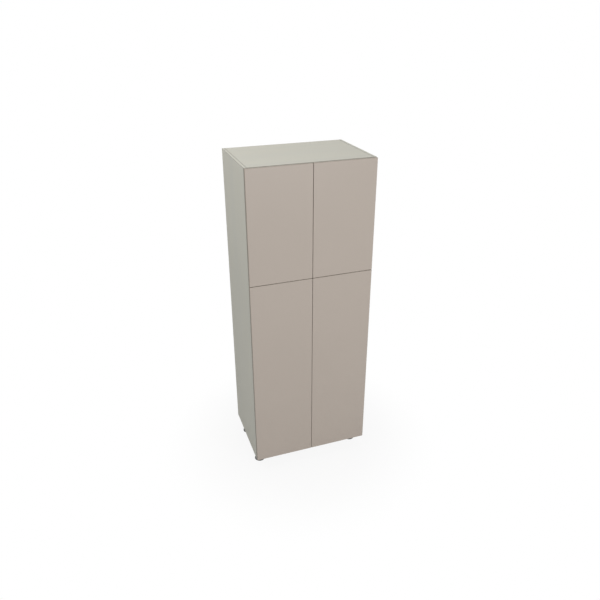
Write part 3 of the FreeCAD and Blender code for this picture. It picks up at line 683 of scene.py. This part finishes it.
def makeShelfPin():
    # the axis is upright: the part in the board lies below height 0
    shaft = settle(addCylinder("shelfPinMaster", shelfPin["sides"], shelfPin["radius"], -shelfPin["inBoard"],
                               shelfPin["bearing"]))
    selectFaces(shaft, lambda centre, normal: facesUp(centre, normal) or facesDown(centre, normal))
    bpy.ops.mesh.bevel(offset=shelfPin["endRound"], segments=3, affect="EDGES")
    bpy.ops.object.mode_set(mode="OBJECT")
    deselectAll()
    bpy.ops.mesh.primitive_torus_add(major_segments=shelfPin["sides"], minor_segments=shelfPin["grooveSides"],
                                     major_radius=shelfPin["radius"], minor_radius=shelfPin["grooveRadius"],
                                     location=(0, 0, shelfPin["grooveAt"]))
    cutWith(shaft, newPiece("groove"))
    return settle(shaft)


shelfPinMaster = makeShelfPin()
pinPlaces = []
for shelfName in ("upper_shelf", "lower_shelf_1", "lower_shelf_2"):
    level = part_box(shelfName)[0].z - shelfPin["radius"]
    for sign in sideSigns.values():
        for back in shelfPin["rowBacks"]:
            innerFace = Vector((sign * (halfWidth - boardThick), frontEdge + back, level))
            pinPlaces.append(facing(innerFace, (-sign, 0, 0)))
shelfPins = copyTo(shelfPinMaster, pinPlaces, "shelfPins")
finishPiece(shelfPins, finishes["zinc"], "carcass", "shelf_pins")
dropMasters(shelfPinMaster)
print("shelf pins made:", len(pinPlaces))


# adjustable legs: foot, ring and socket, each modelled once

leg = {"footProfile": ((0.0395, 0.0), (0.0395, 0.006), (0.0345, 0.011), (0.0310, 0.011), (0.0295, 0.0088),
                       (0.0205, 0.0088), (0.0178, 0.0118), (0.0152, 0.0163), (0.0139, 0.0180)),
       "footSides": 72, "footArris": 0.0006, "footAngle": 42, "stemRadius": 0.0150, "stemTop": 0.090,
       "threadPitch": 0.004, "threadFlank": 0.0014, "threadTurns": 17,
       "ringLow": 0.0526, "ringHigh": 0.0626, "ringRadius": 0.0268, "ringBore": 0.0154, "ringTeeth": 24,
       "gapShare": 0.93, "ringArris": 0.0005, "boreSides": 64, "socketLow": 0.063, "socketHigh": 0.105,
       "tubeRadius": 0.0195, "tubeArris": 0.0006, "socketBore": 0.0154, "boreSpare": 0.005,
       "flangeRadius": 0.038, "flangeThick": 0.004, "flangeArris": 0.0008, "ribs": 8, "ribLong": 0.017,
       "ribThick": 0.0016, "ribHigh": 0.026, "ribCentre": 0.0265, "ribInFlange": 0.001, "ribSlope": 0.0155,
       "screws": 4, "screwRing": 0.0295}


def turnedPiece(name, profile, sides):
    # a round piece built upwards from its lowest circle, one (radius, height) after another
    deselectAll()
    lastRadius, lastHeight = profile[0]
    bpy.ops.mesh.primitive_circle_add(vertices=sides, radius=lastRadius, fill_type="NGON",
                                      location=(0, 0, lastHeight))
    piece = newPiece(name)
    bpy.ops.object.transform_apply(location=True)
    bpy.ops.object.mode_set(mode="EDIT")
    bpy.ops.mesh.select_all(action="SELECT")
    for radius, height in profile[1:]:
        moveUp(height - lastHeight)
        narrow(radius / lastRadius)
        lastRadius, lastHeight = radius, height
    bpy.ops.object.mode_set(mode="OBJECT")
    return settle(piece)


def makeFoot():
    # a dished base with a threaded stem
    profile = list(leg["footProfile"])
    core, start = profile[-1]
    flank = leg["threadFlank"]
    half = leg["threadPitch"] / 2
    for number in range(leg["threadTurns"]):
        low = start + number * leg["threadPitch"]
        profile += [(leg["stemRadius"], low + flank), (leg["stemRadius"], low + half),
                    (core, low + half + flank), (core, low + 2 * half)]
    profile.append((core, leg["stemTop"]))
    foot = turnedPiece("footMaster", profile, leg["footSides"])
    softenEdges(foot, leg["footArris"], angle=leg["footAngle"])
    return settle(foot)


def makeRing():
    # each tooth takes four steps of the circle: two at full radius and two in the gap
    low, high, spare = leg["ringLow"], leg["ringHigh"], leg["boreSpare"]
    sides = leg["ringTeeth"] * 4
    step = 2 * math.pi / sides
    ring = settle(addCylinder("ringMaster", sides, leg["ringRadius"], low, high))
    selectPoints(ring, lambda place: round(math.atan2(place.y, place.x) / step) % 4 in (1, 2))
    narrow(leg["gapShare"])
    bpy.ops.object.mode_set(mode="OBJECT")
    softenEdges(ring, leg["ringArris"])
    cutWith(ring, addCylinder("ringBore", leg["boreSides"], leg["ringBore"], low - spare, high + spare))
    return settle(ring)


def makeSocket():
    # a flange under the base, a tube for the stem and ribs that slope from one to the other
    low, high, sides, spare = leg["socketLow"], leg["socketHigh"], leg["boreSides"], leg["boreSpare"]
    flangeLow = high - leg["flangeThick"]
    socket = addCylinder("socketMaster", sides, leg["flangeRadius"], flangeLow, high)
    softenEdges(socket, leg["flangeArris"])
    tube = addCylinder("tube", sides, leg["tubeRadius"], low, high)
    softenEdges(tube, leg["tubeArris"])
    cutWith(socket, tube, "UNION")
    ribMiddle = Vector((leg["ribCentre"], 0, flangeLow + leg["ribInFlange"] - leg["ribHigh"] / 2))
    for number in range(leg["ribs"]):
        rib = settle(addBox("rib", (leg["ribLong"], leg["ribThick"], leg["ribHigh"]), ribMiddle))
        selectPoints(rib, lambda place: place.x > ribMiddle.x and place.z < ribMiddle.z)
        bpy.ops.transform.translate(value=(-leg["ribSlope"], 0, 0))
        bpy.ops.object.mode_set(mode="OBJECT")
        rib.rotation_euler = (0, 0, 2 * math.pi * (number + 0.5) / leg["ribs"])
        cutWith(socket, rib, "UNION")
    cutWith(socket, addCylinder("socketBore", sides, leg["socketBore"], low - spare, high + spare))
    return settle(socket)


footMaster = makeFoot()
ringMaster = makeRing()
socketMaster = makeSocket()
legPlaces = {}
for row in ("front", "rear"):
    for side in sideSigns:
        low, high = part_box(f"foot_{row}_{side}")
        legPlaces[f"{row}_{side}"] = Vector(((low.x + high.x) / 2, (low.y + high.y) / 2, 0))
for place, spot in legPlaces.items():
    stand = Matrix.Translation(spot)
    foot = copyTo(footMaster, [stand], f"foot_{place}_round")
    finishPiece(foot, finishes["legPlastic"], f"foot_{place}", f"foot_{place}",
                angle=leg["footAngle"])
    ring = copyTo(ringMaster, [stand], f"adjustingRing_{place}")
    ringName = f"adjusting_ring_{place}"
    finishPiece(ring, finishes["legPlasticDark"], ringName, ringName)
sockets = copyTo(socketMaster, [Matrix.Translation(spot) for spot in legPlaces.values()], "legSockets")
finishPiece(sockets, finishes["legPlastic"], "carcass", "leg_sockets")
socketScrewPlaces = []
for spot in legPlaces.values():
    for number in range(leg["screws"]):
        angle = 2 * math.pi * (number + 0.5) / leg["screws"]
        away = Vector((math.cos(angle), math.sin(angle), 0)) * leg["screwRing"]
        under = Vector((0, 0, leg["socketHigh"] - leg["flangeThick"]))
        socketScrewPlaces.append(facing(spot + away + under, (0, 0, -1)))
socketScrews = copyTo(screwMaster, socketScrewPlaces, "socketScrews")
finishPiece(socketScrews, finishes["zinc"], "carcass")
dropMasters(footMaster, ringMaster, socketMaster)
print("legs made:", len(legPlaces))


# push latches: round plungers with a magnet tip, and the screws of housings, strikes and brackets

plunger = {"sides": 40, "radius": 0.0040, "long": 0.042, "tipRound": 0.0007, "tipSkin": 0.0001,
           "tipMargin": 0.0005, "seam": 0.00015, "magnetInset": 0.0003}
strike = {"screwOffset": 0.0105, "sunk": 0.0002, "screwScale": 0.55}


def makePlunger():
    # the axis is upright, with the tip at height 0 and the magnet's face sunk a little below it
    rod = settle(addCylinder("plungerMaster", plunger["sides"], plunger["radius"], -plunger["long"], 0))
    selectFaces(rod, facesUp)
    bpy.ops.mesh.bevel(offset=plunger["tipRound"], segments=3, affect="EDGES")
    bpy.ops.object.mode_set(mode="OBJECT")
    selectFaces(rod, lambda centre, normal: facesUp(centre, normal) and centre.z > -plunger["tipSkin"])
    bpy.ops.mesh.inset(thickness=plunger["tipMargin"], depth=0)
    bpy.ops.mesh.inset(thickness=plunger["seam"], depth=-plunger["magnetInset"])
    bpy.ops.object.mode_set(mode="OBJECT")
    return settle(rod)


plungerMaster = makePlunger()
for doorName in doorNames:
    low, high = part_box(f"plunger_{doorName}")
    centre = (low + high) / 2
    tip = (centre.x, low.y, centre.z)
    rod = copyTo(plungerMaster, [facing(tip, (0, -1, 0))], f"plungerRod_{doorName}")
    finishPiece(rod, finishes["latchPlastic"], f"plunger_{doorName}", f"plunger_{doorName}")
    low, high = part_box(f"strike_plate_{doorName}")
    centre = (low + high) / 2
    strikeBack = high.y - strike["sunk"]
    places = [facing((centre.x + offset, strikeBack, centre.z), (0, 1, 0), strike["screwScale"])
              for offset in (-strike["screwOffset"], strike["screwOffset"])]
    screws = copyTo(screwMaster, places, f"strikeScrews_{doorName}")
    finishPiece(screws, finishes["zinc"], doorName)
dropMasters(plungerMaster)

latch = {"fromMiddle": 0.045, "setback": 0.001, "footThick": 0.003, "screwAcross": 0.0115,
         "screwBacks": (0.012, 0.074), "screwScale": 0.75}
bracket = {"fromMiddle": 0.330, "thick": 0.0025, "screwPlaces": ((-0.012, 0.020), (0.012, 0.036)),
           "screwScale": 0.95}
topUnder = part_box("top_panel")[0].z
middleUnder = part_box("middle_shelf")[0].z
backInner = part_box("back_panel_upper")[0].y
ceilingScrews = []
for ceiling in (topUnder, middleUnder):
    for x in (-latch["fromMiddle"], latch["fromMiddle"]):
        for across in (-latch["screwAcross"], latch["screwAcross"]):
            for back in latch["screwBacks"]:
                spot = (x + across, frontEdge + latch["setback"] + back, ceiling - latch["footThick"])
                ceilingScrews.append(facing(spot, (0, 0, -1), latch["screwScale"]))
for sign in sideSigns.values():
    for across, back in bracket["screwPlaces"]:
        spot = (sign * bracket["fromMiddle"] + across, backInner - back, topUnder - bracket["thick"])
        ceilingScrews.append(facing(spot, (0, 0, -1), bracket["screwScale"]))
upperScrews = copyTo(screwMaster, ceilingScrews, "ceilingScrews")
finishPiece(upperScrews, finishes["zinc"], "carcass")
print("latches made")


# door bumpers: small domes at the free corners of each door

bumper = {"sides": 24, "radius": 0.0045, "thick": 0.0018, "fromEdge": 0.012, "angle": 60,
          "steps": ((0.92, 0.2), (0.84, 0.17), (0.74, 0.09), (0.6, 0.03))}


def makeBumper():
    # a disc of half the thickness, and above it steps that narrow and rise by their shares
    dome = settle(addCylinder("bumperMaster", bumper["sides"], bumper["radius"], 0, bumper["thick"] / 2))
    selectFaces(dome, facesUp)
    for factor, rise in bumper["steps"]:
        moveUp(bumper["thick"] * rise)
        narrow(factor)
    bpy.ops.object.mode_set(mode="OBJECT")
    return settle(dome)


bumperMaster = makeBumper()
for doorName in doorNames:
    low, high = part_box(doorName)
    inset = bumper["fromEdge"]
    freeX = high.x - inset if doorName.endswith("left") else low.x + inset
    places = [facing((freeX, high.y, z), (0, 1, 0)) for z in (low.z + inset, high.z - inset)]
    domes = copyTo(bumperMaster, places, f"bumpers_{doorName}")
    finishPiece(domes, finishes["clearRubber"], doorName, angle=bumper["angle"])
dropMasters(bumperMaster)
print("bumpers made")


# caps over the connecting fittings, inside the cupboard

cap = {"sides": 32, "radius": 0.0080, "thick": 0.0009, "edgeShare": 0.6, "angle": 50, "fromSide": 0.034,
       "backs": (0.060, 0.300, 0.520)}


def makeCap():
    disc = settle(addCylinder("capMaster", cap["sides"], cap["radius"], 0, cap["thick"]))
    selectFaces(disc, facesUp)
    bpy.ops.mesh.bevel(offset=cap["thick"] * cap["edgeShare"], segments=3, affect="EDGES")
    bpy.ops.object.mode_set(mode="OBJECT")
    return settle(disc)


capMaster = makeCap()
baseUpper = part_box("base_panel")[1].z
capPlaces = []
for face, direction in ((baseUpper, 1), (middleUnder, -1), (topUnder, -1)):
    for sign in sideSigns.values():
        for back in cap["backs"]:
            spot = (sign * (halfWidth - boardThick - cap["fromSide"]), frontEdge + back, face)
            capPlaces.append(facing(spot, (0, 0, direction)))
caps = copyTo(capMaster, capPlaces, "fittingCaps")
finishPiece(caps, finishes["capPlastic"], "carcass", angle=cap["angle"])
dropMasters(capMaster, screwMaster)
print("caps made:", len(capPlaces))


# floor, light and camera

ground = {"size": 60, "greys": (0.68, 0.72), "cloud": (3.0, 3.0, 0.5), "roughness": 0.9, "specular": 0.1,
          "share": 0.90, "near": 0.5, "far": 1.2}


def makeFloor():
    deselectAll()
    bpy.ops.mesh.primitive_plane_add(size=ground["size"], location=(0, 0, 0))
    floor = newPiece("floor")
    material, tree, shader, coordinates = startMaterial("paleFloor", ground["roughness"],
                                                        specular=ground["specular"])
    cloud = noise(tree, coordinates.outputs["Object"], *ground["cloud"])
    pale = ramp(tree, cloud, [(stop, (grey, grey, grey)) for stop, grey in zip(noiseSpan, ground["greys"])])
    tree.links.new(pale, shader.inputs["Base Color"])
    glow = addNode(tree, "ShaderNodeEmission", {"Strength": 1.0})
    path = tree.nodes.new("ShaderNodeLightPath")
    # the floor turns white away from the cupboard and keeps its shadow close to it
    distance = tree.nodes.new("ShaderNodeVectorMath")
    distance.operation = "LENGTH"
    tree.links.new(coordinates.outputs["Object"], distance.inputs[0])
    whiter = addNode(tree, "ShaderNodeMapRange", {"From Min": ground["near"], "From Max": ground["far"],
                                                  "To Min": ground["share"], "To Max": 1.0})
    whiter.interpolation_type = "SMOOTHSTEP"
    tree.links.new(distance.outputs["Value"], whiter.inputs["Value"])
    share = tree.nodes.new("ShaderNodeMath")
    share.operation = "MULTIPLY"
    tree.links.new(path.outputs["Is Camera Ray"], share.inputs[0])
    tree.links.new(whiter.outputs["Result"], share.inputs[1])
    mix = tree.nodes.new("ShaderNodeMixShader")
    tree.links.new(share.outputs["Value"], mix.inputs["Fac"])
    tree.links.new(shader.outputs["BSDF"], mix.inputs[1])
    tree.links.new(glow.outputs["Emission"], mix.inputs[2])
    tree.links.new(mix.outputs["Shader"], tree.nodes["Material Output"].inputs["Surface"])
    floor.data.materials.append(material)


studioWorld = {"colour": (1.0, 1.0, 1.0, 1.0), "strength": 0.488}


def makeWorld():
    # white to the camera and to reflections, dimmer as a light
    world = bpy.data.worlds.new("studio")
    scene.world = world
    world.use_nodes = True
    tree = world.node_tree
    dim = tree.nodes["Background"]
    dim.inputs["Color"].default_value = studioWorld["colour"]
    dim.inputs["Strength"].default_value = studioWorld["strength"]
    white = addNode(tree, "ShaderNodeBackground", {"Color": studioWorld["colour"]})
    path = tree.nodes.new("ShaderNodeLightPath")
    total = path.outputs["Is Camera Ray"]
    for ray in ("Is Glossy Ray", "Is Transmission Ray"):
        add = tree.nodes.new("ShaderNodeMath")
        add.operation = "MAXIMUM"
        tree.links.new(total, add.inputs[0])
        tree.links.new(path.outputs[ray], add.inputs[1])
        total = add.outputs["Value"]
    mix = tree.nodes.new("ShaderNodeMixShader")
    tree.links.new(total, mix.inputs["Fac"])
    tree.links.new(dim.outputs["Background"], mix.inputs[1])
    tree.links.new(white.outputs["Background"], mix.inputs[2])
    tree.links.new(mix.outputs["Shader"], tree.nodes["World Output"].inputs["Surface"])


lamps = {
    "overhead": {"place": (0.0, 0.3, 5.6), "target": (0.0, 0.2, 2.4), "size": 3.0, "power": 35.5,
                 "colour": (1.0, 0.97, 0.92)},
    "front": {"place": (0.6, -4.6, 2.8), "target": (0.0, -0.3, 1.7), "size": 3.0, "power": 106.0,
              "colour": (1.0, 1.0, 1.0)},
    "leftSide": {"place": (-2.6, 0.2, 3.7), "target": (-0.45, 0.0, 2.2), "size": 1.8, "power": 32.5,
                 "colour": (1.0, 1.0, 1.0)},
}


def makeLamp(name, values):
    deselectAll()
    bpy.ops.object.light_add(type="AREA", location=values["place"])
    lamp = bpy.context.object
    lamp.name = name
    lamp.data.shape = "SQUARE"
    lamp.data.size = values["size"]
    lamp.data.energy = values["power"]
    lamp.data.color = values["colour"]
    aim = Vector(values["target"]) - Vector(values["place"])
    lamp.rotation_euler = aim.to_track_quat("-Z", "Y").to_euler()


makeFloor()
makeWorld()
for lampName, values in lamps.items():
    makeLamp(lampName, values)

# the camera stands where the edges in the photograph put it

view = {"place": (-1.2972, -3.7565, 3.2712), "forward": (0.29499, 0.84463, -0.44674),
        "right": (0.94364, -0.33097, -0.00264), "lens": 35.12, "sensor": 36.0, "clipEnd": 100.0}
forward = Vector(view["forward"]).normalized()
right = Vector(view["right"]).normalized()
up = right.cross(forward)
camera = bpy.data.objects.new("camera", bpy.data.cameras.new("camera"))
scene.collection.objects.link(camera)
camera.data.lens = view["lens"]
camera.data.sensor_width = view["sensor"]
camera.data.clip_end = view["clipEnd"]
turn = Matrix((right, up, -forward)).transposed().to_4x4()
camera.matrix_world = Matrix.Translation(Vector(view["place"])) @ turn
scene.camera = camera
print("floor, light and camera set")
